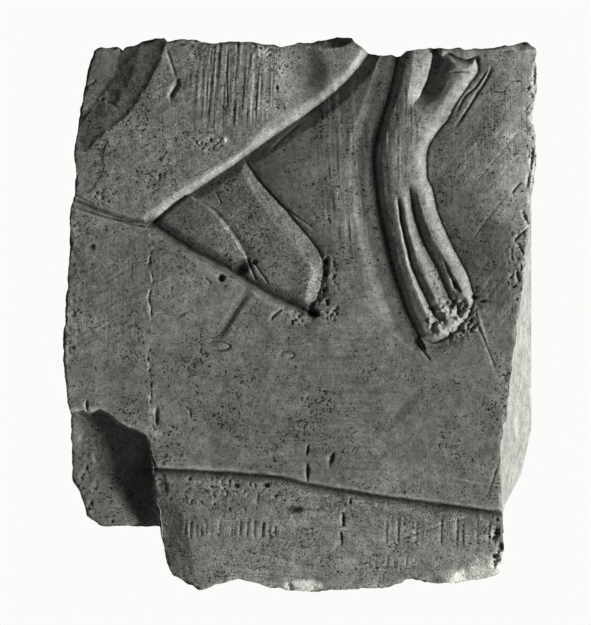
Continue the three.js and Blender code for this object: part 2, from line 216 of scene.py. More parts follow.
CURVES = {name: smooth(points) for name, points in {
    "hem": [(-63, 39), (-47.5, 51.2), (-24.3, 66.7), (-11.4, 76.1), (8, 89.4), (22.6, 102.3), (33, 116)],
    "belt": [(-104, 51), (-96.7, 49), (-79.3, 42.1), (-63, 39)],
    "ground": [(-63, 39), (-47.1, 28.4), (-30.7, 19.8), (-14.4, 9.9), (4.9, 0.4)],
    "inner_sash": [(-47.5, 51.2), (-39, 46.5), (-30.7, 38.3), (-22.6, 25.4), (-19.6, 13.2)],
    "outer_sash": [
        (-24.3, 66.7), (-14.4, 53.8), (-1.5, 39.1), (8, 27.5), (10.5, 19.8), (8.8, 9.9), (4.9, 0.4)],
    "hand_left": [
        (44.5, 121), (42.8, 111.8), (38.9, 94.2), (34.2, 77.8), (32.5, 64.9), (34.6, 45.6),
        (38.1, 29.2), (41.9, 14.6), (47.5, -1.3), (51.8, -9.5)],
    "hand_right": [
        (77.2, 109.2), (76.5, 103.2), (72.4, 97.6), (67, 89.6), (63.9, 83.6), (58.8, 77), (55, 69.7),
        (55, 58.5), (57, 53.3), (60.4, 40.4), (65.6, 29.2), (71.6, 17.6), (75, 7)],
    "fingertips": [(51.8, -9.5), (58.5, -12), (67, -7.5), (73, 0), (75, 7)],
    "fork_top": [
        (77.2, 109.2), (75, 109.3), (71.4, 108.6), (67, 109.6), (63.9, 111), (60, 110.5), (58.3, 121)],
    "fork_valley": [(57.8, 114), (56.1, 105.8), (54.8, 100.6), (52.2, 94.2), (48.4, 89)],
    "first_gap": [(42.4, 50.3), (44.9, 35.3), (49.2, 18.9), (55.3, 5.2), (59, -2)],
    "second_gap": [(46.9, 55.5), (50.4, 40), (53.2, 31), (59.3, 19.4), (64.7, 6.5), (68, 3)],
    "third_gap": [(60.5, 25.8), (64.7, 16.6), (69, 9.9)],
    "ledge": [(-66, -66), (-45, -67), (-11.4, -69.2), (4.9, -72.7), (34.2, -77.4), (63, -81.3), (92, -85)],
}.items()}

BREAKS = {name: smooth(points) for name, points in {
    "recess": [
        (-103, -41.5), (-92, -41.6), (-84.9, -41.2), (-76.8, -46.6), (-67, -51.4), (-63.4, -58),
        (-62.8, -66), (-61.5, -76), (-59.2, -88), (-58.4, -95)],
    "corner": [
        (-55, 122), (-58.7, 110.9), (-63, 102.3), (-71.2, 88.2), (-76.3, 83), (-83.2, 77.8),
        (-91.8, 69.7), (-99, 71)],
    "facet": [(-60.6, -66.5), (-55.7, -77.4), (-49.2, -87.3), (-46, -100.2), (-44.5, -111.4), (-41, -122)],
    "corner_valley": [(-76.8, 119), (-77.2, 113.5), (-79.3, 104.9), (-82.8, 98.9), (-88, 91)],
    "spall": [(-83.2, 72.2), (-84.1, 66.2), (-84.5, 60.2), (-87.9, 55), (-90.9, 51.6), (-99, 49.9)],
}.items()}


# Chipped edges: the line where each leaves the face, with the chip on its left, and its slope.
LOST_EDGES = [
    (smooth([(-4, 118.5), (1, 115.5), (8, 113.7), (15, 113.6), (21, 115.3), (25, 119)]), 0.8),
    (smooth([(86, 116), (92, 113.1), (98, 112.4), (103, 113)]), 0.9),
    (smooth([(92, -103), (86, -105.6), (78, -106.6), (70, -107.8), (65.5, -112), (61, -119)]), 0.35),
    (smooth([(13, -121), (9, -116.8), (4, -115.9), (0, -116.6), (-5, -113.6), (-7, -121)]), 0.6),
]
RIM = np.array(OUTLINE["bottom"] + OUTLINE["right"] + OUTLINE["top"][::-1] + OUTLINE["left"][::-1])
RIM = RIM[np.append(True, np.hypot(*np.diff(RIM, axis=0).T) > 0)]


def first_part(line, end):
    """The line from its start to the point end."""
    return line[: np.argmin(np.hypot(*(line - end).T)) + 1]


GROUND_AREA = 0
FIGURES = [
    ("garment", GARMENT, np.vstack([CURVES["belt"], CURVES["hem"], [(-104, 125)]])),
    ("outer", OUTER_SASH, np.vstack([
        CURVES["ground"], CURVES["outer_sash"][::-1],
        first_part(CURVES["hem"], CURVES["outer_sash"][0])[::-1]])),
    ("hand", HAND, np.vstack([
        CURVES["hand_left"], CURVES["fingertips"], CURVES["hand_right"][::-1], CURVES["fork_top"]])),
    ("band", 0.0, np.vstack([CURVES["ledge"], [(95, -125), (-66, -125)]])),
]
AREAS = {"ground": GROUND_AREA} | {name: number + 1 for number, (name, _, _) in enumerate(FIGURES)}
AREAS["inner"] = len(AREAS)


def cut(line, depth, areas, left=None, right=None, widen=((0, 1), (1, 1)), start=0.0, end=0.0):
    """A carved line: its depth, the areas that it works in, and how it runs out to each side of the line, as
    pairs of a distance and the share of its depth that is left there. The distances are scaled by widen along
    the line, and the whole cut fades over the shares start and end of its length."""
    return {
        "line": CURVES[line], "depth": depth, "areas": [AREAS[area] for area in areas],
        "sides": (right, left), "widen": np.array(widen, float).T, "start": start, "end": end}


CUTS = [
    cut("hem", 4.7, ["garment"], left=[(0, 1), (2.8, 0.12), (4.5, 0.03), (7, 0)],
        widen=[
            (0, 1.5), (0.15, 1.2), (0.3, 0.7), (0.42, 1.1), (0.52, 1.9), (0.65, 1.3), (0.8, 0.95), (1, 1.1)]),
    cut("hem", 4.7, ["ground"], right=[(0, 1), (6.3, 0.28), (11, 0.2), (30, 0)], start=0.2),
    cut("hem", 4.7, ["outer"], right=[(0, 1), (4.4, 0.35), (7, 0.25), (30, 0)]),
    cut("hem", 4.7, ["inner"], right=[(0, 1), (1.2, 0.4), (4, 0.25), (16, 0)]),
    cut("belt", 2.4, ["garment", "ground"],
        left=[(0, 1), (1.2, 0.4), (4.5, 0)], right=[(0, 1), (1.0, 0.3), (6, 0)]),
    cut("ground", 4.3, ["inner", "outer", "ground"],
        left=[(0, 1), (1.3, 0.62), (4.2, 0.2), (9, 0)], right=[(0, 1), (1.3, 0.3), (3, 0.08), (5, 0)]),
    cut("inner_sash", 2.9, ["outer", "inner"],
        left=[(0, 1), (1.2, 0.5), (3.0, 0.12), (6, 0)], right=[(0, 1), (1.1, 0.05), (2, 0)]),
    cut("outer_sash", 3.9, ["outer"], right=[(0, 1), (0.8, 0.85), (3.0, 0.72), (6.8, 0.05), (9, 0)],
        widen=[(0, 0.8), (0.5, 1), (0.7, 0.75), (1, 0.7)]),
    cut("outer_sash", 3.9, ["ground"], left=[(0, 1), (0.7, 0.75), (2.5, 0.55), (20, 0)], end=0.12),
    cut("hand_left", 4.5, ["hand"], left=[(0, 1), (1.5, 0.58), (3, 0.32), (6, 0.1), (9, 0)],
        widen=[(0, 1.35), (0.2, 1.3), (0.4, 1), (1, 1)]),
    cut("hand_left", 4.5, ["ground"], right=[(0, 1), (0.8, 0.8), (7.5, 0.62), (11.5, 0.12), (17, 0)],
        widen=[(0, 0.8), (0.5, 1), (0.9, 0.9), (1, 0.6)]),
    cut("hand_right", 3.3, ["hand"], right=[(0, 1), (1.2, 0.64), (3, 0.3), (5, 0.08), (7, 0)],
        widen=[(0, 1.4), (0.3, 1.4), (0.45, 1), (1, 1)]),
    cut("hand_right", 3.3, ["ground"], left=[(0, 1), (0.5, 0.8), (6, 0.55), (24, 0)], start=0.08),
    cut("fingertips", 3.4, ["hand", "ground"],
        left=[(0, 1), (1.5, 0.5), (3.5, 0)], right=[(0, 1), (1.0, 0.5), (6, 0.2), (14, 0)]),
    cut("fork_top", 3.6, ["hand"], left=[(0, 1), (2, 0.55), (5, 0)], start=0.25),
    cut("fork_top", 3.6, ["ground"], right=[(0, 1), (0.8, 0.25), (3, 0)], start=0.25),
    cut("fork_valley", 5.6, ["hand"],
        left=[(0, 1), (3.5, 0.62), (8, 0.22), (13.5, 0)], right=[(0, 1), (0.4, 0.68), (7, 0.02), (9, 0)],
        widen=[(0, 1.5), (0.3, 1.2), (0.6, 1), (1, 0.6)], end=0.3),
    cut("first_gap", 3.2, ["hand"],
        left=[(0, 1), (1.2, 0.55), (3.4, 0.08), (4.5, 0)], right=[(0, 1), (2.4, 0.1), (3.4, 0)],
        widen=[(0, 0.35), (0.4, 0.6), (1, 1.4)], start=0.12),
    cut("second_gap", 3.6, ["hand"],
        left=[(0, 1), (1.2, 0.6), (5, 0.1), (6, 0)], right=[(0, 1), (2, 0.6), (4.5, 0.1), (5.5, 0)],
        widen=[(0, 0.5), (0.4, 0.8), (1, 1.4)], start=0.12),
    cut("third_gap", 2.3, ["hand"], left=[(0, 1), (1.2, 0)], right=[(0, 1), (1.6, 0)], start=0.3),
    cut("ledge", 2.5, ["ground", "band"],
        left=[(0, 1), (0.9, 0)], right=[(0, 1), (0.8, 0.75), (3.5, 0.15), (5, 0)]),
]


def strokes(places, top, bottom, depth, half_width=0.5):
    """Upright chisel strokes side by side at the places given along x, each with its own ends and depth."""
    chance = np.random.default_rng(len(places))
    middle = (top + bottom) / 2
    return [
        ([(x + 0.3, top + rise), (x, middle), (x - 0.1, bottom + fall)], half_width, depth * press)
        for x, rise, fall, press in zip(
            places, *chance.uniform(-1.5, 1.5, (2, len(places))), chance.uniform(0.5, 1.2, len(places)))]


# Each score: its points, half its width and its depth.
SCORES = [
    ([(-21.3, 61.1), (-16.1, 55.5), (-10.5, 49.4), (-4.1, 43), (-1.1, 39.1)], 0.5, 0.6),
    ([(-18.7, 59.3), (-11.8, 51.6), (-4.9, 44.7), (1.5, 40), (7.5, 35.7)], 0.5, 0.6),
    ([(-12.9, 69.4), (-8.6, 73.7), (-4.3, 77.4), (0.9, 82.1)], 0.7, 0.3),
    ([(48.8, -10.3), (52.2, -14.6), (56.5, -20.2)], 0.8, 0.7),
    ([(82.8, 106.2), (80.6, 100.6), (75.9, 93.3), (71.6, 86.4), (66.4, 79.1)], 0.8, 0.8),
    ([(81.1, 104.9), (75.9, 97.2), (71.2, 92.9), (67.3, 85.6)], 0.7, 0.7),
    ([(64.6, 103.2), (69, 103.4), (73.3, 103)], 0.5, 1),
    ([(97.4, 79.1), (92.2, 75.7), (88.4, 71), (80.6, 61.9), (73.3, 54.2)], 0.5, 0.2),
    ([(-91.6, 98.6), (-89.6, 99.2), (-88, 100.6)], 0.5, 0.6),
    ([(-83.4, 91.3), (-80.5, 90.4), (-77.2, 87.7)], 0.6, 0.4),
    ([(95.2, 56.3), (93.1, 54.2), (90.9, 51.2)], 0.6, 0.6),
    ([(88.8, 51.2), (82.8, 43.4), (77.2, 36.1), (73.3, 29.7)], 0.5, 0.25),
    ([(98.3, 37), (94.8, 34), (91.8, 31)], 0.7, 0.8),
    ([(91.8, 31), (96.1, 28.8)], 0.6, 0.5),
    ([(75.7, -3.5), (80.2, -13.2), (84.6, -24.9)], 0.7, 0.4),
    ([(-61.3, 0), (-57.8, 0.4), (-54, -0.4), (-50.5, 0), (-47.1, 1.3)], 0.45, 0.4),
    ([(-20.9, 9.9), (-25.6, 3.9), (-30.3, -3.4), (-35.5, -11.6)], 2.2, 0.7),
    ([(-40.2, -12.9), (-36.8, -11.6), (-32.5, -12), (-29.5, -13.8), (-32.5, -15.5), (-36.8, -15.5),
      (-40.2, -13.8)], 0.6, 0.6),
    ([(-8.8, -18.1), (-6.7, -15.9), (-3.7, -15.9), (-1.9, -17.2), (-3.7, -18.9), (-7.1, -19.4)], 0.5, 0.4),
    ([(-35.9, 52.9), (-34.6, 49.9), (-32.9, 46.4)], 0.5, 0.4),
    ([(-30.6, 117), (-31, 102), (-30.4, 87)], 0.5, 0.6),
    ([(-22.6, 24.5), (-20.4, 19.8), (-18.3, 14.2)], 0.7, 0.9),
    ([(-19.6, 22.4), (-16.6, 18.1), (-13.1, 12.9)], 0.6, 0.7),
    ([(-12.3, -2.6), (-10.1, 0), (-7.1, 2.1)], 0.9, 0.7),
    ([(-40.6, 15.5), (-37.6, 13.3)], 0.5, 0.6),
    ([(-57, 114.4), (-54.8, 107.5), (-52.6, 101.4)], 0.9, 0.5),
    ([(-52.6, 101.4), (-52.2, 98.4), (-54.2, 95), (-55.8, 92)], 1.6, 1.3),
    ([(-104, 53.5), (-96.7, 51), (-88, 47)], 0.8, 0.6),
    ([(-104, 48.2), (-92, 44.2), (-80.4, 40.9), (-66, 38.8)], 0.7, 0.7),
    ([(-81, 41.2), (-72, 38.4), (-63.5, 37.2)], 0.6, 0.6),
    ([(-49.7, -39.1), (-47, -41.5), (-46.5, -44.7)], 0.6, 0.5),
    ([(-68.6, -61.5), (-62, -61.2), (-57.5, -61.6)], 0.5, 0.3),
    ([(22.2, -61.7), (30.5, -60.6), (37.8, -60.2)], 0.45, 0.3),
    ([(62.4, -69.2), (78, -72.2), (91, -73.5)], 0.6, -0.35),
    ([(70.2, -80.8), (80, -83.4), (90, -84.6)], 0.7, -0.5),
    ([(-45.8, -98.5), (-30, -100.2), (-12.9, -103.2), (4.7, -106.7)], 0.45, 0.35),
    ([(-43.7, -105.6), (-21.3, -108.4), (-4.1, -109.6)], 0.45, 0.3),
    ([(-43.7, -109.8), (-28, -110.6), (-8, -111.8), (14, -113.1)], 0.5, 0.45),
    ([(-43, -111.3), (-28, -111.9), (-8, -113.1)], 0.45, 0.4),
    ([(41.4, -96.5), (54.8, -92.2), (66, -88.4), (75, -86.7)], 0.5, 0.4),
    ([(20, -109), (40, -107.6), (58, -108.8)], 0.5, 0.3),
    ([(88.5, -50), (84.5, -66), (80, -79)], 0.5, 0.3),
    *strokes([-48.6, -46.4, -43.9, -41.8, -39.8, -37.6, -34.1, -28.8, -27.6, -25.1, -22.1, -19.1, -15.4,
              -12.6, -10.2], -88.6, -95.9, 0.5, 0.8),
    *strokes([-44.9, -40.6, -36, -32.2, -30.1, -26, -23.4, -20.5, -17.6, -14], -88.9, -95, -0.4, 0.7),
    *strokes([37.6, 42.6, 50.5, 61, 67.7, 70.3, 76.3, 81.3], -87.4, -98.6, 0.35, 0.8),
    *strokes([38.6, 43.8, 54, 62.2, 71.4, 77.5, 82.4], -86.4, -98.2, -0.35, 0.7),
    *strokes([26.1, 28.9, 30.2, 33.1, 36.4, 38, 41.2, 44.5, 46.1, 49.7, 51.3], -104.2, -107.6, 0.3, 0.7),
    *strokes([27.4, 34.6, 39.6, 42.8, 48], -103.6, -108, -0.3, 0.7),
]
CRACK = smooth([
    (-62.6, 37.8), (-63.4, 33.5), (-62.6, 29.2), (-64.3, 22.4), (-62.9, 14.6), (-64.7, 6), (-63.5, -1.5),
    (-64.4, -6.9), (-63.9, -13), (-64.9, -19.8), (-63.9, -26), (-63.1, -33.5), (-64.1, -38.7), (-62.8, -44.7),
    (-63.5, -50.4)])

# Dips: middle, half width, half height, lean to the left in degrees, depth. Below zero it stands out.
HOLLOWS = [
    (1.5, 101.5, 11, 18, 6, 1.9),           # the scoop near the top
    (-18.3, 98.5, 1.3, 14, -3, 0.45),
    (-33.3, 15.5, 1.9, 2, 0, 1.9),        # holes beside the sash ends
    (-24.6, 20.4, 4.4, 3.8, 30, 1.7),
    (-19.1, 22.4, 1.6, 1.4, 0, 1.2),
    (66.9, 12.5, 1.6, 3.6, 25, 1.6),
    (74.6, 7.3, 2, 1.3, 0, 1.8),
    (78.5, 5.6, 2.2, 0.8, 10, 0.9),
    (11.8, 22.4, 1.5, 1.9, 0, 1.7),
    (11.4, 17.6, 1.3, 2.2, 0, 1.6),
    (10.6, 10.3, 1.2, 1.8, 0, 1.3),
    (8.6, 6, 1.1, 1.4, 0, 1.2),
    (6, 0.2, 2.9, 2, -20, 1.6),
    (-89.2, 28.8, 1.9, 1.6, 0, 0.8),
    (-47.1, -70.5, 1.3, 1, 0, 0.9),
    (-26.9, -73.5, 1.6, 1.3, 0, 1),
    (-14, -73.1, 1.9, 1.2, 0, 1),
    (-1.9, -83.4, 4.6, 1.9, 0, 0.9),
    (-81, -89, 1.1, 0.9, 0, 0.6),
    (3.7, -58.1, 0.8, 2.8, -8, 0.8),        # upright gouges
    (3.7, -67.5, 1, 4.6, 0, 0.9),
    (14, -61.9, 1.3, 3.9, -18, 0.8),
    (19.1, -87.7, 0.8, 3.6, 0, 0.9),
    (18.3, -95.9, 0.8, 4.3, 5, 0.8),
    (22.2, -80, 0.7, 1.8, 0, 0.7),
    (-61.2, -43.9, 1.3, 4.6, 0, 1.1),
    (-91.4, -39.3, 0.8, 3.2, 0, 1),
    (-58.7, -72.5, 2.6, 6, 15, 0.8),
    (100.6, 100.6, 0.9, 4.2, -3, 0.9),      # flakes off the right edge
    (99.6, 66.2, 1, 5.5, -6, 1),
    (98.2, 57, 0.9, 3.6, -8, 0.9),
    (96.8, 41, 0.9, 3.6, 25, 0.9),
    (95, 27.5, 0.9, 3, 30, 0.8),
    (93.5, 16.5, 1, 3.2, 10, 0.8),
    (-84.9, 92.4, 1.1, 0.9, 0, 0.8),
    (-31.9, 74.8, 1.3, 1.2, 0, -0.7),       # small marks on the garment
    (-60, 59, 0.8, 1.7, 0, 0.7),
    (-9.5, 97, 0.9, 1.5, 0, 0.8),
    (84.9, -92.9, 1.6, 2.6, 0, 1.3),
    (86.5, -98.9, 1.5, 2.2, 10, 1.4),
    (84.1, -103, 1.8, 1.5, 0, 1.2),
]

# Pecked places: middle, half width, half height, lean, depth of the pits and how far apart they are. Below
# zero they are crumbs that stand out.
PECKED = [
    (-32.5, -77.8, 28, 9.5, 0, 1, 1.1),
    (10, -84, 30, 6, 3, 0.5, 1.1),
    (13, 11, 5, 18, 3, 1.8, 1.5),
    (0, -0.5, 8.5, 5.5, 0, 1.5, 1.3),
    (66, -2, 14, 12, 0, 2.6, 2.3),
    (66, -2, 13, 11, 0, -1.6, 1.7),
    (68, 2, 10, 8, 0, 1, 1.1),
    (66, -4, 12, 9, 0, -1.2, 1),
    (-83, 50, 6.5, 5, 0, 1.4, 1.1),
    (-39, 73, 9, 3.6, 0, 1.3, 1),
    (-42, 113, 7, 5, 0, 1, 0.9),
    (-16, 112, 5.5, 4, 0, 1.3, 1),
    (95, 14, 8, 30, 6, 1, 1.3),
    (100.5, 78, 4.5, 38, 0, 1, 1.2),
    (85.5, -97, 6.5, 14, 0, 2, 1.9),
    (-98, 20, 5, 60, 0, 0.8, 1.8),
    (-92, -70, 6, 24, 0, 1, 2.2),
    (88.5, -45, 3, 30, 0, 0.8, 1.4),
    (-25, 40, 24, 22, 40, 0.25, 1),
    (7.5, 17, 4.5, 17, 0, 0.5, 1),
    (-62.5, -49, 4, 2.5, 35, 0.8, 1),
    (-18, 113, 20, 3.5, 0, 0.6, 1.1),
]

# Combed and brushed places: middle, half width, half height, lean, how far apart the lines are, depth.
COMBED = [
    (-30.4, 98, 20, 25, -3.8, 0.75, 0.26),
    (-14, 98, 12, 22, -2, 0.7, 0.12),
    (21, 62, 15, 44, 3, 0.9, 0.16),
    (44, 75, 11, 32, 0, 0.8, 0.12),
    (88, 78, 20, 44, -40, 0.8, 0.08),
    (85, 10, 14, 34, -35, 0.9, 0.12),
    (-52, 78, 34, 26, -60, 0.9, 0.13),
    (15, -98, 80, 20, 94, 0.9, 0.07),
    (10, -38, 110, 34, 91, 1, 0.06),
    (-82, 5, 22, 40, -60, 0.9, 0.12),
]


def figure_levels(x, z):
    """The area number and the level of every point of the face, before any cut."""
    area = np.full(len(x), GROUND_AREA)
    level = np.full(len(x), FIELD)
    for name, depth, outline in reversed(FIGURES):
        inside = contains(outline, x, z)
        area[inside] = AREAS[name]
        level[inside] = depth
    _, left, _ = offset_from(CURVES["inner_sash"], x, z)
    inner = (area == AREAS["outer"]) & ~left
    area[inner] = AREAS["inner"]
    level[inner] = INNER_SASH
    return area, level


def cut_depth(x, z, area, level):
    depth = level.copy()
    for item in CUTS:
        widest = item["widen"][1].max()
        reach = max(side[-1][0] for side in item["sides"] if side) * widest
        away, left, along = offset_from(item["line"], x, z, reach)
        scaled = away / np.interp(along, *item["widen"])
        share = np.zeros(len(x))
        for on_left, side in enumerate(item["sides"]):
            if side:
                here = left == bool(on_left)
                share[here] = np.interp(scaled[here], *np.array(side, float).T)
        if item["start"]:
            share *= np.clip(along / item["start"], 0, 1)
        if item["end"]:
            share *= np.clip((1 - along) / item["end"], 0, 1)
        share[~np.isin(area, item["areas"])] = 0
        depth = np.maximum(depth, level + (item["depth"] - level) * share)
    return depth


def placed(x, z, middle_x, middle_z, half_width, half_height, lean):
    """Places within a patch, in halves of its own width and height."""
    turn = math.radians(lean)
    across, up = x - middle_x, z - middle_z
    return (
        (across * math.cos(turn) + up * math.sin(turn)) / half_width,
        (up * math.cos(turn) - across * math.sin(turn)) / half_height)


def near_patch(x, z, middle_x, middle_z, half_width, half_height):
    reach = max(half_width, half_height)
    return np.flatnonzero((np.abs(x - middle_x) < reach) & (np.abs(z - middle_z) < reach))


def ragged_places(x, z):
    """The same places moved a little this way and that, which makes the lines of the breaks ragged."""
    points = np.column_stack([x, z])
    return x + BREAK_WANDER * rough(points, 3.5, SEED + 23), z + BREAK_WANDER * rough(points, 3.5, SEED + 24)


def broken_depth(x, z):
    """What the breaks have taken off the face."""
    x, z = ragged_places(x, z)
    away, left, _ = offset_from(BREAKS["recess"], x, z)
    recess = ~left
    wall = RECESS_DEPTH * np.interp(z, *RECESS_LOW) * (1 - np.exp(-away / RECESS_WALL))
    depth = np.where(recess, wall - RECESS_RISE * away, 0)
    away, left, _ = offset_from(BREAKS["facet"], x, z)
    depth += np.where(~left & ~recess & (z < -60), FACET_SLOPE * away, 0)
    away, left, _ = offset_from(BREAKS["corner"], x, z)
    step = CORNER_STEP * (1 - np.exp(-away / CORNER_ROUNDING))
    depth += np.where(~left, CORNER_SLOPE * away + step, 0)
    away, left, _ = offset_from(BREAKS["corner_valley"], x, z, VALLEY_RIGHT + 1)
    depth += VALLEY_DEPTH * np.clip(1 - away / np.where(left, VALLEY_LEFT, VALLEY_RIGHT), 0, 1)
    away, left, _ = offset_from(BREAKS["spall"], x, z, SPALL_REACH)
    spall = SPALL_DEPTH * np.clip(away / 0.7, 0, 1) * np.clip((SPALL_TOP - z) / 3, 0, 1)
    depth += np.where(~left & (away < SPALL_REACH), spall, 0)
    for line, slope in LOST_EDGES:
        away, left, _ = offset_from(line, x, z, 16)
        depth += np.where(left & (away < 16), slope * away, 0)
    return depth


def scored_depth(x, z):
    """Scratches, tool marks, the crack, holes and pecked and combed places."""
    depth = np.zeros(len(x))
    for points, half_width, cut in SCORES:
        away, _, along = offset_from(smooth(points), x, z, half_width)
        runs_out = np.clip(np.minimum(along, 1 - along) / RUN_OUT, 0, 1)
        depth += cut * runs_out * np.clip(1 - away / half_width, 0, 1)
    away, _, along = offset_from(CRACK, *ragged_places(x, z), 0.6)
    stretches = noise(np.column_stack([along * 70, np.zeros(len(x))]), 1, SEED + 40)
    open_here = np.clip(0.15 + 1.2 * stretches, 0, 1)
    depth += CRACK_DEPTH * open_here * np.clip(1 - away / CRACK_HALF_WIDTH, 0, 1)
    for middle_x, middle_z, half_width, half_height, lean, deep in HOLLOWS:
        near = near_patch(x, z, middle_x, middle_z, half_width * 1.4, half_height * 1.4)
        points = np.column_stack([x[near], z[near]])
        across, up = placed(*points.T, middle_x, middle_z, half_width, half_height, lean)
        ragged = 0.25 * (half_width < 3.5) * noise(points, 0.4 * half_width, SEED + 41)
        depth[near] += deep * np.clip(1 - across**2 - up**2 + ragged, 0, 1) ** 1.5
    for number, (middle_x, middle_z, half_width, half_height, lean, deep, apart) in enumerate(PECKED):
        near = near_patch(x, z, middle_x, middle_z, half_width, half_height)
        points = np.column_stack([x[near], z[near]])
        across, up = placed(*points.T, middle_x, middle_z, half_width, half_height, lean)
        pits = np.clip(rough(points, apart, SEED + 50 + number, 2) - 0.1, 0, 1)
        depth[near] += deep * ease(1 - np.hypot(across, up), 0, PATCH_FADE) * pits
    for number, (middle_x, middle_z, half_width, half_height, lean, apart, deep) in enumerate(COMBED):
        near = near_patch(x, z, middle_x, middle_z, half_width, half_height)
        across, up = placed(x[near], z[near], middle_x, middle_z, half_width, half_height, lean)
        turned = np.column_stack([across * half_width, up * half_height])
        lines = noise(turned, (apart, COMB_LENGTH * apart), SEED + 70 + number)
        depth[near] += deep * ease(1 - np.hypot(across, up), 0, PATCH_FADE) * lines
    return depth


def face_depth(x, z):
    points = np.column_stack([x, z])
    cut_x = x + CUT_WANDER * rough(points, 4, SEED + 26)
    cut_z = z + CUT_WANDER * rough(points, 4, SEED + 27)
    area, level = figure_levels(cut_x, cut_z)
    _, outside_recess, _ = offset_from(BREAKS["recess"], *ragged_places(x, z))
    carved = np.where(outside_recess, cut_depth(cut_x, cut_z, area, level), FIELD) + scored_depth(x, z)
    broken = broken_depth(x, z)
    wavy = 0.22 * rough(points, 17, SEED) + 0.07 * rough(points, 3, SEED + 10)
    grain = 0.05 * noise(points, 0.9, SEED + 20)
    away, _, _ = offset_from(RIM, x, z)
    arris = 1.1 + 1.2 * rough(points, 7, SEED + 21) + 0.5 * noise(points, 1.6, SEED + 22)
    worn = 0.55 * np.clip(arris - away, 0, 3)
    return np.maximum(carved + broken + wavy + grain + worn, 0)


# ---- Colour of the face ----

# Painted shade along the carved lines, where the grooves and the ground beside them lie in shade, with some
# dirt in the grooves: line, side, how far it reaches and how much of the colour it takes.
SHADE_AND_DIRT_BESIDE_LINES = [
    ("ground", "left", 5, 0.62), ("ground", "right", 3.2, 0.66),
    ("ledge", "left", 0.8, 0.3), ("ledge", "right", 2.2, 0.6), ("ledge", "right", 4.6, 0.3),
    ("belt", "left", 1.8, 0.35), ("belt", "right", 2.8, 0.45),
    ("hem", "right", 24, 0.24), ("inner_sash", "right", 1.6, 0.1),
    ("outer_sash", "left", 1.2, 0.3), ("outer_sash", "left", 9, 0.3),
    ("hand_left", "right", 3.2, 0.5), ("hand_left", "right", 12, 0.45), ("hand_left", "left", 3, 0.15),
    ("hand_right", "left", 1.1, 0.45), ("hand_right", "left", 5, 0.15), ("fingertips", "right", 5, 0.35),
    ("first_gap", "left", 1.8, 0.3), ("first_gap", "right", 0.8, 0.3),
    ("second_gap", "left", 2, 0.35), ("second_gap", "right", 2.2, 0.3),
    ("third_gap", "left", 1.2, 0.1), ("fork_valley", "left", 8, 0.3),
]
# Paler stone along worn edges, and painted highlight along the edges that face the light, in the same terms.
WORN_EDGES_AND_HIGHLIGHTS = [
    ("hem", "left", 3.8, 0.8), ("outer_sash", "right", 5, 0.35), ("hand_right", "right", 6, 0.55),
    ("fork_valley", "right", 5, 0.4), ("ledge", "left", 2, 0.4),
    ("inner_sash", "left", 2.6, 0.5), ("first_gap", "right", 4, 0.3), ("fingertips", "left", 5, 0.5),
]
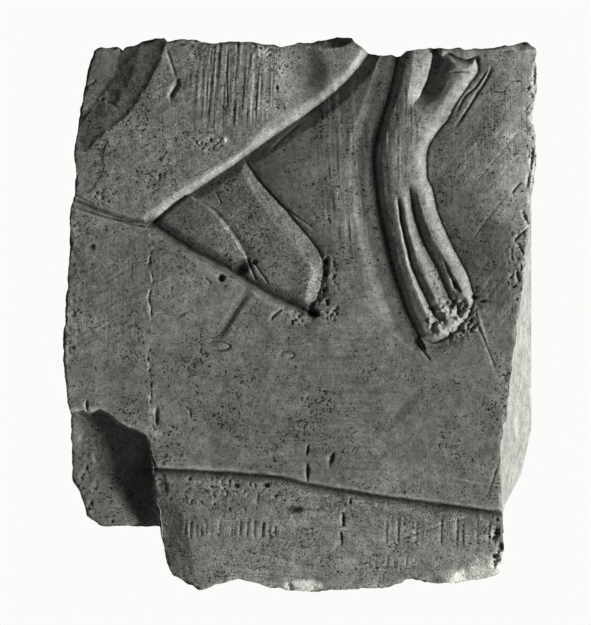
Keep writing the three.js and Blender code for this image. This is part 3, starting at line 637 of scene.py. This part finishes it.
# Patches of darker and paler stone: real stains and patina, with painted shade in holes, in the recess,
# beside the scoop and in the fork, and painted light near the right edge and on lit chips. Each: middle, half
# width, half height, lean, how many times as bright, and the areas that take part.
EVERYWHERE = tuple(AREAS)
STAIN_SHADE_AND_LIGHT_PATCHES = [
    # painted shade on the ground between the hem and the hand
    (14, 74, 27, 48, -36, 0.78, ("ground",)),
    (-12, 34, 60, 60, 0, 0.82, ("outer",)),
    (-12, 34, 60, 60, 0, 0.95, ("inner",)),
    (74, 32, 14, 40, 24, 0.62, ("ground",)),
    # painted light on the ground near the right edge
    (99, 74, 17, 66, 0, 1.75, ("ground",)),
    (40, 90, 18, 40, 0, 1.15, ("hand",)),
    (-50, -88, 11, 34, 18, 0.85, ("band",)),
    (-84, -68, 20, 26, 0, 0.72, ("ground", "band")),
    (10, -104, 100, 22, 2, 1.25, ("band",)),
    (-14, 100, 9, 22, 0, 1.3, ("garment",)),
    # painted shade on the scoop's right wall and on the chipped top edge, which face away from the light
    (9.5, 100, 6, 17, 6, 0.62, ("garment",)),
    (12, 117, 17, 5, 0, 0.5, ("garment",)),
    (-60, 100, 18, 26, 0, 0.88, ("garment",)),
    (-78, 18, 30, 30, 0, 0.86, ("ground",)),
    (-1.9, -83.4, 5.4, 2.6, 0, 0.45, ("band",)),
    (65, -63.5, 6, 3, 0, 0.82, ("ground",)),
    # dark holes and gouges: dirt in them and painted shade
    (-33.3, 15.5, 2.2, 2.3, 0, 0.3, EVERYWHERE),
    (-24.4, 20.5, 5.6, 4.6, 30, 0.3, EVERYWHERE),
    (-19.1, 22.4, 2.2, 1.9, 0, 0.35, EVERYWHERE),
    (6, 0.2, 3.4, 2.4, -20, 0.4, EVERYWHERE),
    (11.4, 19, 1.9, 6, 0, 0.45, EVERYWHERE),
    (-89.2, 28.8, 2.3, 1.9, 0, 0.45, EVERYWHERE),
    (-26.9, -73.5, 2.2, 1.7, 0, 0.5, EVERYWHERE),
    (-14, -73.1, 2.6, 1.7, 0, 0.5, EVERYWHERE),
    (3.7, -67.5, 1.2, 5, 0, 0.35, EVERYWHERE),
    (3.7, -58.1, 1, 3, -8, 0.4, EVERYWHERE),
    (14, -61.9, 1.6, 4.2, -18, 0.45, EVERYWHERE),
    (19.1, -87.7, 1, 4, 0, 0.35, EVERYWHERE),
    (18.3, -95.9, 1, 4.6, 5, 0.4, EVERYWHERE),
    (47, -39.3, 13, 3, 51, 0.6, ("ground",)),
    (20, -38, 120, 46, 0, 0.85, ("ground",)),
    (86.5, -94, 3.4, 9, 0, 0.6, EVERYWHERE),
    # painted shade in the fork of the hand
    (62, 106.5, 5, 4.5, 0, 0.6, ("hand",)),
    # pale fresh chips, made brighter with painted light
    (2.3, -117, 9, 4.6, 0, 1.5, ("band",)),
    (77, -112.5, 18, 7.4, 12, 1.4, ("band",)),
    # painted shadow in the recess beside its wall
    (-68, -74, 8, 24, -8, 0.55, ("ground", "band")),
    (-86, -47, 8, 4, 0, 0.9, EVERYWHERE),
]
# How strong the grain is on each area.
GRAINY = {"ground": 0.5, "garment": 0.8, "outer": 1, "hand": 0.6, "band": 1, "inner": 1.0}
# Stained lines: their points, how far each reaches and how much of the colour it takes.
STAINS = [(smooth([(-20.9, 9.9), (-25.6, 3.9), (-30.3, -3.4), (-35.5, -11.6)]), 2.6, 0.4)]
# Fresh pale breaks, and painted glints and painted light on lit chips, in the same terms, with how pale each
# is.
FRESH_BREAKS_AND_GLINTS = [
    # the pale chips along the bottom edge, made brighter with painted light
    (2.3, -117, 9, 4.8, 0, 1.3), (22, -118.4, 10, 1.6, 0, 0.4),
    (77, -112.5, 17, 7.4, 12, 1.4), (85.5, -107, 5, 5, 30, 1.2),
    (-32, 74.8, 1.7, 1.6, 0, 1), (-16.5, 112, 5, 3.6, 0, 0.6), (-62.8, -50.2, 4.5, 1.6, -35, 0.7),
    (-63.9, -43.5, 0.8, 4.5, 0, 0.8), (66, -3, 11, 8, 20, 0.8), (-0.5, -0.5, 6, 3.6, -20, 0.35),
    (7.2, 11, 3.8, 17, -6, 0.8), (-60, -51, 2, 2, 0, 0.5), (55, 63, 3, 14, 0, 0.4),
    # the first two here are painted glints on the hand's finger strip
    (52.3, 65, 0.9, 4, 0, 1), (55, 50.5, 1, 1.6, 0, 1), (74.6, 106.6, 2.8, 3.4, -20, 1),
    (69, 105.4, 3.4, 1.6, 5, 0.7), (-55.3, 96, 1.4, 5, -25, 0.8),
    (-55.6, 108, 1.4, 8, 20, 0.45), (-92.4, 93.3, 1, 1, 0, 0.9), (-92.1, 88.8, 1.1, 1.3, 0, 0.9),
    (-94.8, 83.4, 1, 1.2, 0, 0.9), (-85.2, 92.9, 1, 0.8, 0, 0.9),
]


def soft_patch(x, z, middle_x, middle_z, half_width, half_height, lean):
    """How much each point is within a patch with a soft and ragged edge."""
    near = near_patch(x, z, middle_x, middle_z, half_width, half_height)
    across, up = placed(x[near], z[near], middle_x, middle_z, half_width, half_height, lean)
    points = np.column_stack([x[near], z[near]])
    ragged = 0.25 * rough(points, max(0.5 * min(half_width, half_height), 0.8), SEED + 90)
    share = np.zeros(len(x))
    share[near] = ease(1 - np.hypot(across, up) + ragged, 0, 0.5)
    return share


def beside_line(x, z, line, side, reach):
    away, left, _ = offset_from(CURVES[line], x, z, reach)
    share = np.interp(away, (0.5 * reach, reach), (1, 0))
    share[left != (side == "left")] = 0
    return share


def face_colour(x, z, depth):
    """For a grid of points of the face: how bright its patina is, with painted shade in grooves, hollows and
    the recess and painted light on lit places; how pale the stone is, with painted highlights on lit edges,
    chips and raised crumbs; which way it is brushed and how grainy it is."""
    flat_x, flat_z = x.ravel(), z.ravel()
    area, _ = figure_levels(flat_x, flat_z)
    tone, pale = np.ones(flat_x.size), np.zeros(flat_x.size)
    # painted shade in and beside the carved grooves, with some dirt
    for line, side, reach, taken in SHADE_AND_DIRT_BESIDE_LINES:
        tone *= 1 - taken * beside_line(flat_x, flat_z, line, side, reach)
    # paler worn edges, and painted highlight on the edges that face the light
    for line, side, reach, amount in WORN_EDGES_AND_HIGHLIGHTS:
        pale = np.maximum(pale, amount * beside_line(flat_x, flat_z, line, side, reach))
    # stains and patina, with painted shade and painted light in some of the patches
    for *patch, factor, areas in STAIN_SHADE_AND_LIGHT_PATCHES:
        within_areas = np.isin(area, [AREAS[name] for name in areas])
        tone *= 1 + (factor - 1) * soft_patch(flat_x, flat_z, *patch) * within_areas
    for line, reach, taken in STAINS:
        away, _, _ = offset_from(line, flat_x, flat_z, reach)
        tone *= 1 - taken * np.clip(2 - 2 * away / reach, 0, 1)
    # fresh pale breaks, painted glints and painted light on lit chips
    for *patch, amount in FRESH_BREAKS_AND_GLINTS:
        pale = np.maximum(pale, amount * soft_patch(flat_x, flat_z, *patch))
    ragged = ragged_places(flat_x, flat_z)
    _, left, _ = offset_from(BREAKS["corner"], *ragged)
    tone *= np.where(left, 1, CORNER_TONE)
    away, _, _ = offset_from(CRACK, *ragged, 1.6)
    flecks = noise(np.column_stack([flat_x, flat_z]), (1.1, 1.9), SEED + 43)
    tone *= 1 - 0.6 * np.clip(1.6 - 2.4 * away, 0, 1) * (flecks < 0)
    pale = np.maximum(pale, (flecks > 0.35) & (away < 0.8))
    # painted shade along the left and top edges, which face away from the light
    away, _, _ = offset_from(RIM, flat_x, flat_z)
    left_or_top = (flat_x < -75) | (flat_z > 108)
    tone *= np.where(left_or_top, np.interp(away, (0.4, 2.2), (0.5, 1)), 1)

    # painted shade in hollows, darker the deeper a place lies below its neighbours, and painted highlight on
    # raised crumbs and edges
    small, large = depth - blurred(depth, 3), depth - blurred(depth, 12)
    tone *= 1 - 0.45 * np.clip(small / 0.45, 0, 1).ravel() - 0.2 * np.clip(large / 1.2, 0, 1).ravel()
    pale = np.maximum(pale, 0.6 * np.clip(-small / 0.22 - 0.15, 0, 1).ravel())
    upright, level = np.zeros(flat_x.size), np.zeros(flat_x.size)
    for middle_x, middle_z, half_width, half_height, lean, _, _ in COMBED:
        brushed = level if abs(lean) > 60 else upright
        patch = soft_patch(flat_x, flat_z, middle_x, middle_z, half_width, half_height, lean)
        np.maximum(brushed, patch, out=brushed)
    grainy = np.array([GRAINY[name] for name in AREAS])[area]
    return {"tone": tone, "pale": pale, "upright": upright, "level": level, "grainy": grainy}


def blurred(grid, reach):
    """The mean of the grid's values within reach cells of each."""
    size = 2 * reach + 1
    for axis in (0, 1):
        edge = [(0, 0), (0, 0)]
        edge[axis] = (reach + 1, reach)
        sums = np.cumsum(np.pad(grid, edge, mode="edge"), axis=axis)
        grid = (np.roll(sums, -size, axis=axis) - sums).take(range(grid.shape[axis]), axis=axis) / size
    return grid


# ---- The outline as a bent square: u runs left to right, v from bottom to top ----

def on_side(points, main_axis, share):
    """Points on one side of the outline. Lengths along its main axis count fully, across it less."""
    corners = np.array(points, float)
    run = np.abs(np.diff(corners, axis=0))
    stations = np.concatenate([[0], np.cumsum(run[:, main_axis] + 0.25 * run[:, 1 - main_axis])])
    stations /= stations[-1]
    return np.column_stack([np.interp(share, stations, corners[:, axis]) for axis in (0, 1)])


def within(sides, u, v):
    """Points within an outline: its straight-sided shape, bent to follow each side nearby."""
    side_reach = 5
    bottom_left, bottom_right = (np.array(sides["bottom"][i], float) for i in (0, -1))
    top_left, top_right = (np.array(sides["top"][i], float) for i in (0, -1))
    u, v = u[:, None], v[:, None]
    place = (bottom_left * (1 - u) + bottom_right * u) * (1 - v) + (top_left * (1 - u) + top_right * u) * v
    for name, axis, share, start, end, nearness in (
        ("left", 1, v, bottom_left, top_left, 1 - u),
        ("right", 1, v, bottom_right, top_right, u),
        ("bottom", 0, u, bottom_left, bottom_right, 1 - v),
        ("top", 0, u, top_left, top_right, v),
    ):
        chord = start * (1 - share) + end * share
        place = place + (on_side(sides[name], axis, share[:, 0]) - chord) * nearness**side_reach
    return place


# ---- The stone as one closed mesh ----

def rim_of(columns, rows):
    """The border of the face's grid, anticlockwise from the lower left corner, as (column, row)."""
    return np.array(
        [(c, 0) for c in range(columns)]
        + [(columns, r) for r in range(rows)]
        + [(c, rows) for c in range(columns, 0, -1)]
        + [(0, r) for r in range(rows, 0, -1)])


def block_vertices():
    """All vertices in millimetres, their colour values, the rings' vertex numbers, and the last's number."""
    column, row = np.meshgrid(np.arange(COLUMNS + 1), np.arange(ROWS + 1))
    u, v = column.ravel() / COLUMNS, row.ravel() / ROWS
    face = within(OUTLINE, u, v)
    near_rim = np.maximum(np.abs(2 * u - 1), np.abs(2 * v - 1)) ** 70
    face *= (1 - RIM_FRAY * near_rim * (0.4 + 0.8 * rough(face, 4, SEED + 25)).clip(0, 1))[:, None]
    depth = face_depth(face[:, 0], face[:, 1])
    vertices = [np.column_stack([face[:, 0], depth - THICKNESS, face[:, 1]])]
    x, z, depths = (values.reshape(ROWS + 1, COLUMNS + 1) for values in (face[:, 0], face[:, 1], depth))
    colours = face_colour(x, z, depths)

    rim = rim_of(COLUMNS, ROWS)
    rim_numbers = rim[:, 1] * (COLUMNS + 1) + rim[:, 0]
    front = vertices[0][rim_numbers]
    back = within(BACK_OUTLINE, rim[:, 0] / COLUMNS, rim[:, 1] / ROWS)
    rings = [rim_numbers]
    count = len(vertices[0])
    for share in np.append(FIRST_RING, np.arange(1, SIDE_RINGS + 1) / SIDE_RINGS):
        inward = 1 - SIDE_HOLLOW * math.sin(math.pi * share)
        side = (front[:, [0, 2]] * (1 - share) + back * share) * inward
        ring = np.column_stack([side[:, 0], front[:, 1] * (1 - share), side[:, 1]])
        bumpy = SIDE_BUMPS * math.sin(math.pi * share) ** 0.5 if share < 1 else 0
        shrink = 1 - bumpy * (0.5 + 0.5 * rough(ring, 14, SEED + 30))
        ring[:, [0, 2]] *= shrink[:, None]
        vertices.append(ring)
        rings.append(count + np.arange(len(rim)))
        count += len(rim)
    for share in (np.arange(1, BACK_RINGS) / BACK_RINGS) ** 0.8:
        ring = np.column_stack([back[:, 0] * (1 - share), np.zeros(len(rim)), back[:, 1] * (1 - share)])
        vertices.append(ring)
        rings.append(count + np.arange(len(rim)))
        count += len(rim)
    vertices.append(np.zeros((1, 3)))

    on_right = np.tile((rim[:, 0] == COLUMNS) & (rim[:, 1] > 0), len(rings) - 1)
    rest = {
        "tone": np.ones(len(on_right)),
        "pale": np.where(on_right, 0.45, 0.3),
        "grainy": np.full(len(on_right), 0.45)}
    for name, values in colours.items():
        colours[name] = np.concatenate([values, rest.get(name, np.zeros(len(on_right))), [0]])
    return np.vstack(vertices), colours, rings, count


def block_faces(rings, centre):
    column, row = np.meshgrid(np.arange(COLUMNS), np.arange(ROWS))
    corner = (row * (COLUMNS + 1) + column).ravel()
    quads = [np.column_stack([corner, corner + 1, corner + COLUMNS + 2, corner + COLUMNS + 1])]
    for outer, inner in zip(rings, rings[1:]):
        quads.append(np.column_stack([outer, inner, np.roll(inner, -1), np.roll(outer, -1)]))
    last = rings[-1]
    caps = np.column_stack([last, np.full(len(last), centre), np.roll(last, -1)])
    return np.vstack(quads).tolist() + caps.tolist()


def stone_block():
    vertices, colours, rings, centre = block_vertices()
    mesh = bpy.data.meshes.new("stone_block")
    low, high = (np.array(corner) for corner in CAD_BOX)
    mesh.from_pydata(np.clip(vertices * MM, low, high), [], block_faces(rings, centre))
    for name, values in colours.items():
        mesh.attributes.new(name, "FLOAT", "POINT").data.foreach_set("value", values.astype(np.float32))
    block = bpy.data.objects.new("stone_block", mesh)
    bpy.context.collection.objects.link(block)

    triangles = sum(len(polygon.vertices) - 2 for polygon in mesh.polygons)
    thin = block.modifiers.new("thin", "DECIMATE")
    thin.ratio = min(1.0, MOST_TRIANGLES / triangles)
    bpy.context.view_layer.update()
    thinned = bpy.data.meshes.new_from_object(block.evaluated_get(bpy.context.evaluated_depsgraph_get()))
    block.modifiers.clear()
    block.data = thinned
    places = np.empty(3 * len(thinned.vertices))
    thinned.vertices.foreach_get("co", places)
    thinned.vertices.foreach_set("co", np.clip(places.reshape(-1, 3), low, high).ravel())
    thinned.shade_smooth()
    thinned.set_sharp_from_angle(angle=math.radians(60))
    return block


# ---- Material ----

PATINA_TINT = (1.02, 0.92)           # green and blue as shares of red


def stone_material():
    material = bpy.data.materials.new("limestone")
    material.use_nodes = True
    nodes, links = material.node_tree.nodes, material.node_tree.links
    shader = nodes["Principled BSDF"]
    shader.inputs["Roughness"].default_value = 0.9
    shader.inputs["Specular IOR Level"].default_value = 0.25
    place = nodes.new("ShaderNodeTexCoord").outputs["Object"]

    def value_of(name):
        node = nodes.new("ShaderNodeAttribute")
        node.attribute_name = name
        return node.outputs["Fac"]

    def texture(scale, detail=4.0, roughness=0.55, stretch=(1, 1, 1)):
        mapping = nodes.new("ShaderNodeMapping")
        mapping.inputs["Scale"].default_value = stretch
        links.new(place, mapping.inputs["Vector"])
        node = nodes.new("ShaderNodeTexNoise")
        node.inputs["Scale"].default_value = scale
        node.inputs["Detail"].default_value = detail
        node.inputs["Roughness"].default_value = roughness
        links.new(mapping.outputs["Vector"], node.inputs["Vector"])
        return node.outputs["Fac"]

    def ramp(source, *stops, tint=(1, 1)):
        node = nodes.new("ShaderNodeValToRGB")
        elements = node.color_ramp.elements
        while len(elements) < len(stops):
            elements.new(0.5)
        for element, (at, grey) in zip(elements, stops):
            element.position = at
            element.color = (grey, grey * tint[0], grey * tint[1], 1)
        links.new(source, node.inputs["Fac"])
        return node.outputs["Color"]

    def mixed(kind, first, second, factor=1.0):
        node = nodes.new("ShaderNodeMix")
        node.data_type = "RGBA"
        node.blend_type = kind
        if isinstance(factor, float):
            node.inputs["Factor"].default_value = factor
        else:
            links.new(factor, node.inputs["Factor"])
        links.new(first, node.inputs["A"])
        links.new(second, node.inputs["B"])
        return node.outputs["Result"]

    def worked(operation, first, second):
        node = nodes.new("ShaderNodeMath")
        node.operation = operation
        for socket, value in zip(node.inputs, (first, second)):
            if isinstance(value, float):
                socket.default_value = value
            else:
                links.new(value, socket)
        return node.outputs["Value"]

    patina = ramp(texture(45), (0.3, 0.27), (0.7, 0.38), tint=PATINA_TINT)
    fresh_and_highlight = ramp(texture(90), (0.3, 0.54), (0.7, 0.72), tint=PATINA_TINT)
    blotches = ramp(texture(140, 3.0), (0.35, 0.8), (0.65, 1.12))
    mottle = ramp(texture(370), (0.3, 0.68), (0.7, 1.16))
    grains = ramp(texture(1500, 3.0, 0.7), (0.36, 0.4), (0.64, 1.45))
    brushed = ramp(texture(800, 3.0, 0.6, (0.05, 1, 1)), (0.35, 0.84), (0.65, 1.13))
    clusters = worked("MULTIPLY", texture(75, 3.0), 0.3)
    fine_specks = ramp(worked("SUBTRACT", texture(1150, 2.0), clusters), (0.195, 0.12), (0.235, 1.0))
    bold_specks = ramp(worked("SUBTRACT", texture(560, 2.5), clusters), (0.16, 0.12), (0.185, 1.0))
    dashes = ramp(worked("SUBTRACT", texture(620, 2.0, 0.5, (0.3, 1, 1)), clusters), (0.11, 0.3), (0.16, 1.0))
    speckled = mixed("MULTIPLY", mixed("MULTIPLY", patina, fine_specks), bold_specks)
    stained = mixed("MULTIPLY", speckled, dashes)
    # the pale share brings in fresh stone and the painted highlights
    stone = mixed("MULTIPLY", mixed("MIX", stained, fresh_and_highlight, value_of("pale")), blotches)
    shaded = mixed("MULTIPLY", mixed("MULTIPLY", stone, mottle), grains, value_of("grainy"))
    shaded = mixed("MULTIPLY", shaded, brushed, value_of("level"))
    # tone carries stains and patina together with the painted shade and painted light
    links.new(mixed("MULTIPLY", shaded, value_of("tone")), shader.inputs["Base Color"])

    upright = worked("MULTIPLY", texture(900, 3.0, 0.6, (1, 1, 0.05)), value_of("upright"))
    level_share = worked("MULTIPLY", value_of("level"), 1.6)
    level = worked("MULTIPLY", texture(750, 3.0, 0.6, (0.05, 1, 1)), level_share)
    height = worked("ADD", worked("ADD", texture(1400, 5.0, 0.65), upright), level)
    bump = nodes.new("ShaderNodeBump")
    bump.inputs["Strength"].default_value = 0.7
    bump.inputs["Distance"].default_value = 0.0003
    links.new(height, bump.inputs["Height"])
    links.new(bump.outputs["Normal"], shader.inputs["Normal"])
    return material


# ---- Light, floor and camera ----

FACE = Vector((0, -THICKNESS * MM, 0))


def area_light(name, away, size, watts):
    data = bpy.data.lights.new(name, "AREA")
    data.shape = "DISK"
    data.size = size
    data.energy = watts
    lamp = bpy.data.objects.new(name, data)
    lamp.location = FACE + away
    lamp.rotation_euler = (-away).to_track_quat("-Z", "Y").to_euler()
    bpy.context.collection.objects.link(lamp)


def plain_floor():
    half, height = 6.0, -1.1
    mesh = bpy.data.meshes.new("floor")
    corners = [(-half, -half, height), (half, -half, height), (half, half, height), (-half, half, height)]
    mesh.from_pydata(corners, [], [(0, 1, 2, 3)])
    material = bpy.data.materials.new("pale_floor")
    material.use_nodes = True
    shader = material.node_tree.nodes["Principled BSDF"]
    shader.inputs["Base Color"].default_value = (0.8, 0.8, 0.79, 1)
    shader.inputs["Roughness"].default_value = 0.9
    shader.inputs["Emission Color"].default_value = (1, 1, 0.985, 1)
    shader.inputs["Emission Strength"].default_value = 0.7
    mesh.materials.append(material)
    floor = bpy.data.objects.new("floor", mesh)
    floor.visible_diffuse = False    # pale to look at, without lighting the block from below
    floor.visible_shadow = False
    bpy.context.collection.objects.link(floor)


def pale_surroundings():
    """White behind the block, and a much fainter light from all round on it."""
    world = bpy.data.worlds.new("pale")
    bpy.context.scene.world = world
    world.use_nodes = True
    nodes, links = world.node_tree.nodes, world.node_tree.links
    around = nodes["Background"]
    around.inputs["Color"].default_value = (1, 1, 1, 1)
    around.inputs["Strength"].default_value = 0.075
    seen = nodes.new("ShaderNodeBackground")
    seen.inputs["Color"].default_value = (0.96, 0.965, 0.95, 1)
    path = nodes.new("ShaderNodeLightPath")
    choice = nodes.new("ShaderNodeMixShader")
    links.new(path.outputs["Is Camera Ray"], choice.inputs["Fac"])
    links.new(around.outputs["Background"], choice.inputs[1])
    links.new(seen.outputs["Background"], choice.inputs[2])
    links.new(choice.outputs["Shader"], nodes["World Output"].inputs["Surface"])


def grazing_light():
    lift, drop, distance = math.radians(20), math.radians(8), 4.0
    away = distance * Vector((
        math.cos(lift) * math.cos(drop), -math.sin(lift), -math.cos(lift) * math.sin(drop)))
    area_light("key", away, size=0.7, watts=230)


def rear_light():
    """Softly on the back, the left side and the top, and not on the carved face."""
    area_light("rear", Vector((-1.2, 2.6, 1.2)), size=2.0, watts=45)


def camera():
    distance, yaw = 2.2, math.radians(5)
    picture_height, sensor = 0.2671, 0.036
    aim = FACE + Vector((-0.0013, 0, 0.0007))
    data = bpy.data.cameras.new("camera")
    data.lens = sensor * distance / picture_height * 1000
    cam = bpy.data.objects.new("camera", data)
    cam.location = aim + distance * Vector((math.sin(yaw), -math.cos(yaw), 0))
    cam.rotation_euler = (aim - cam.location).to_track_quat("-Z", "Y").to_euler()
    bpy.context.collection.objects.link(cam)
    bpy.context.scene.camera = cam


bpy.context.scene.view_settings.view_transform = "Standard"
camera()
pale_surroundings()
grazing_light()
rear_light()
plain_floor()

block = stone_block()
block.data.materials.append(stone_material())
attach(block, "root")
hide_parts(NODE)
